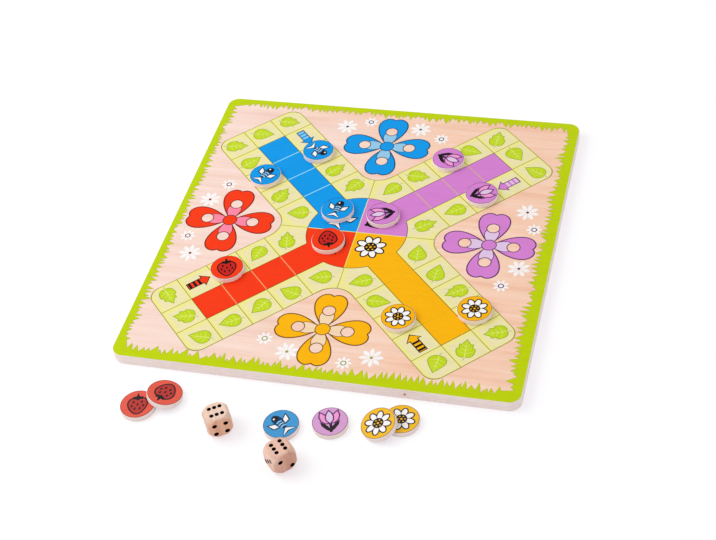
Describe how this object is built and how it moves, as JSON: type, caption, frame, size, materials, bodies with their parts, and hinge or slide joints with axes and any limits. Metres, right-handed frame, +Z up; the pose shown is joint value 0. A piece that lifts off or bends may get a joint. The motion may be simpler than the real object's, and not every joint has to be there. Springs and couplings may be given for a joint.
{
  "type": "ludo board game",
  "caption": "Square printed wooden ludo board with rounded corners, laid out for play with round wooden counters in team colours and pipped wooden dice beside it.",
  "frame": {"origin": "centre of the board's underside", "axes": "+Z up, +X to the right along the board's front edge, +Y from the front edge to the back edge; the loose pieces lie on the -Y side"},
  "size_m": [0.3, 0.3805, 0.018],
  "materials": {
    "board_face": "pale face veneer, printed in colours and sealed with satin varnish",
    "board_core": "sawn and sanded plywood edge, bare",
    "board_back": "sanded plain veneer, bare",
    "counter_red": "red printed face, bare sanded rim and underside",
    "counter_blue": "blue printed face, bare sanded rim and underside",
    "counter_purple": "purple printed face, bare sanded rim and underside",
    "counter_yellow": "yellow printed face, bare sanded rim and underside",
    "dice": "tumbled bare wood with black painted pips"
  },
  "bodies": {
    "board": {"board_face_veneer": "board_face", "board_core": "board_core", "board_back_veneer": "board_back"},
    "counter_red_1": {"counter_red_1": "counter_red"},
    "counter_red_2": {"counter_red_2": "counter_red"},
    "counter_red_3": {"counter_red_3": "counter_red"},
    "counter_red_4": {"counter_red_4": "counter_red"},
    "counter_blue_1": {"counter_blue_1": "counter_blue"},
    "counter_blue_2": {"counter_blue_2": "counter_blue"},
    "counter_blue_3": {"counter_blue_3": "counter_blue"},
    "counter_blue_4": {"counter_blue_4": "counter_blue"},
    "counter_purple_1": {"counter_purple_1": "counter_purple"},
    "counter_purple_2": {"counter_purple_2": "counter_purple"},
    "counter_purple_3": {"counter_purple_3": "counter_purple"},
    "counter_purple_4": {"counter_purple_4": "counter_purple"},
    "counter_yellow_1": {"counter_yellow_1": "counter_yellow"},
    "counter_yellow_2": {"counter_yellow_2": "counter_yellow"},
    "counter_yellow_3": {"counter_yellow_3": "counter_yellow"},
    "counter_yellow_4": {"counter_yellow_4": "counter_yellow"},
    "die_1": {"die_1": "dice"},
    "die_2": {"die_2": "dice"}
  },
  "joints": [
    {"name": "red_1_lift", "type": "slide", "parent": "board", "child": "counter_red_1", "axis": [0, 0, 1], "range_m": [0, 0.06]},
    {"name": "red_2_lift", "type": "slide", "parent": "board", "child": "counter_red_2", "axis": [0, 0, 1], "range_m": [0, 0.06]},
    {"name": "red_3_lift", "type": "slide", "parent": "board", "child": "counter_red_3", "axis": [0, 0, 1], "range_m": [0, 0.06]},
    {"name": "red_4_lift", "type": "slide", "parent": "counter_red_3", "child": "counter_red_4", "axis": [0, 0, 1], "range_m": [0, 0.06]},
    {"name": "blue_1_lift", "type": "slide", "parent": "board", "child": "counter_blue_1", "axis": [0, 0, 1], "range_m": [0, 0.06]},
    {"name": "blue_2_lift", "type": "slide", "parent": "board", "child": "counter_blue_2", "axis": [0, 0, 1], "range_m": [0, 0.06]},
    {"name": "blue_3_lift", "type": "slide", "parent": "board", "child": "counter_blue_3", "axis": [0, 0, 1], "range_m": [0, 0.06]},
    {"name": "blue_4_lift", "type": "slide", "parent": "board", "child": "counter_blue_4", "axis": [0, 0, 1], "range_m": [0, 0.06]},
    {"name": "purple_1_lift", "type": "slide", "parent": "board", "child": "counter_purple_1", "axis": [0, 0, 1], "range_m": [0, 0.06]},
    {"name": "purple_2_lift", "type": "slide", "parent": "board", "child": "counter_purple_2", "axis": [0, 0, 1], "range_m": [0, 0.06]},
    {"name": "purple_3_lift", "type": "slide", "parent": "board", "child": "counter_purple_3", "axis": [0, 0, 1], "range_m": [0, 0.06]},
    {"name": "purple_4_lift", "type": "slide", "parent": "board", "child": "counter_purple_4", "axis": [0, 0, 1], "range_m": [0, 0.06]},
    {"name": "yellow_1_lift", "type": "slide", "parent": "board", "child": "counter_yellow_1", "axis": [0, 0, 1], "range_m": [0, 0.06]},
    {"name": "yellow_2_lift", "type": "slide", "parent": "board", "child": "counter_yellow_2", "axis": [0, 0, 1], "range_m": [0, 0.06]},
    {"name": "yellow_3_lift", "type": "slide", "parent": "counter_yellow_4", "child": "counter_yellow_3", "axis": [0, 0, 1], "range_m": [0, 0.06]},
    {"name": "yellow_4_lift", "type": "slide", "parent": "board", "child": "counter_yellow_4", "axis": [0, 0, 1], "range_m": [0, 0.06]},
    {"name": "die_1_lift", "type": "slide", "parent": "board", "child": "die_1", "axis": [0, 0, 1], "range_m": [0, 0.06]},
    {"name": "die_2_lift", "type": "slide", "parent": "board", "child": "die_2", "axis": [0, 0, 1], "range_m": [0, 0.06]}
  ]
}
